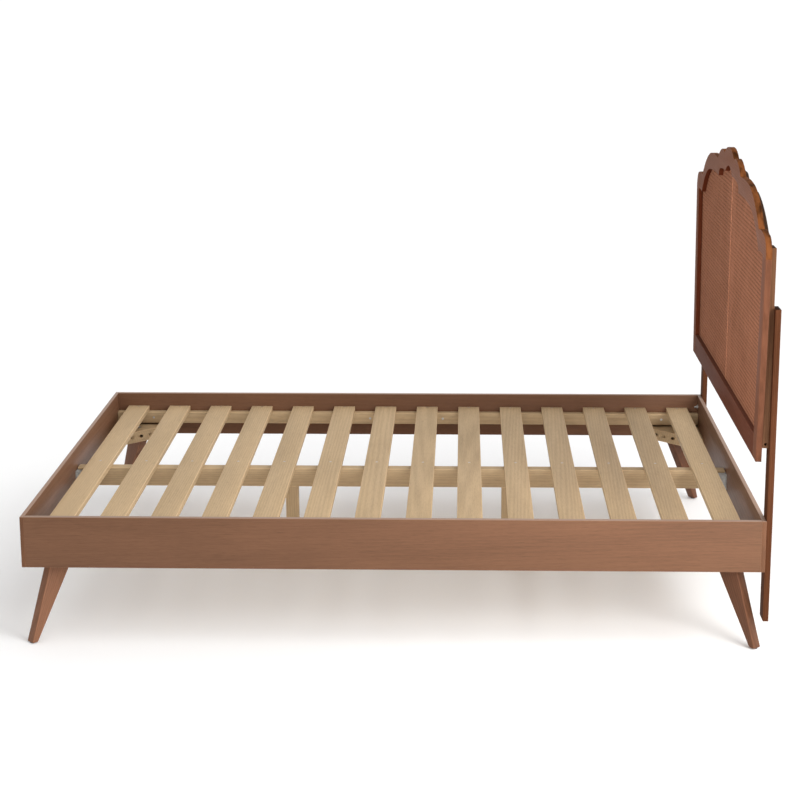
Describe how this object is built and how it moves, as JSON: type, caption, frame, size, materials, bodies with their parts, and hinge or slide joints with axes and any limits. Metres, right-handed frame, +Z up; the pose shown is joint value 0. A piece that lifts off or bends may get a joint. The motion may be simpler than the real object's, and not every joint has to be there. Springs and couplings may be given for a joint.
{
  "type": "wooden bed frame",
  "caption": "Low wooden bed frame with plank rails, splayed corner legs, slatted base and a tall shaped headboard faced with woven cane.",
  "frame": {"origin": "on the floor under the middle of the frame's bounding box", "axes": "+X along the bed towards the headboard, +Y towards the left side seen from the foot, +Z up"},
  "size_m": [2.136, 1.594, 1.353],
  "materials": {
    "walnut_rails": "satin walnut stain",
    "walnut_legs": "satin walnut stain",
    "walnut_headboard": "semi-gloss dark walnut lacquer",
    "walnut_supports": "satin walnut stain",
    "cane_webbing": "woven cane, stained brown",
    "backing_board": "thin stained panel",
    "birch": "planed, unfinished",
    "zinc_steel": "zinc plated",
    "dark_plastic": "moulded"
  },
  "bodies": {
    "bed": {"foot_rail": "walnut_rails", "head_rail": "walnut_rails", "side_rail_right": "walnut_rails", "side_rail_left": "walnut_rails", "leg_foot_right": "walnut_legs", "leg_foot_left": "walnut_legs", "leg_head_right": "walnut_legs", "leg_head_left": "walnut_legs", "crest_rail": "walnut_headboard", "stile_right": "walnut_headboard", "stile_left": "walnut_headboard", "headboard_bottom_rail": "walnut_headboard", "batten_right": "walnut_supports", "batten_left": "walnut_supports", "crest_backer": "walnut_supports", "post_right": "walnut_supports", "post_left": "walnut_supports", "cane_sheet_right": "cane_webbing", "cane_sheet_left": "cane_webbing", "cane_seam_strip": "cane_webbing", "backing_panel": "backing_board", "slat_ledge_right": "birch", "slat_ledge_left": "birch", "centre_beam": "birch", "centre_leg_foot": "birch", "centre_leg_head": "birch", "corner_block_foot_right": "birch", "corner_block_foot_left": "birch", "corner_block_head_right": "birch", "corner_block_head_left": "birch", "dowels": "birch", "slat_01": "birch", "slat_02": "birch", "slat_03": "birch", "slat_04": "birch", "slat_05": "birch", "slat_06": "birch", "slat_07": "birch", "slat_08": "birch", "slat_09": "birch", "slat_10": "birch", "slat_11": "birch", "slat_12": "birch", "slat_13": "birch", "slat_14": "birch", "beam_hanger_foot": "zinc_steel", "beam_hanger_head": "zinc_steel", "leg_bolts": "zinc_steel", "leg_nuts": "zinc_steel", "block_screws": "zinc_steel", "ledge_screws": "zinc_steel", "slat_screws": "zinc_steel", "hanger_screws": "zinc_steel", "panel_pins": "zinc_steel", "headboard_screws": "zinc_steel", "post_bolts": "zinc_steel", "post_nuts": "zinc_steel", "foot_glides": "dark_plastic"},
    "foot_screw_foot": {"levelling_foot_foot": "dark_plastic"},
    "foot_screw_head": {"levelling_foot_head": "dark_plastic"}
  },
  "joints": [
    {"name": "level_foot", "type": "slide", "parent": "bed", "child": "foot_screw_foot", "axis": [0, 0, 1], "range_m": [0, 0.012]},
    {"name": "level_head", "type": "slide", "parent": "bed", "child": "foot_screw_head", "axis": [0, 0, 1], "range_m": [0, 0.012]}
  ]
}
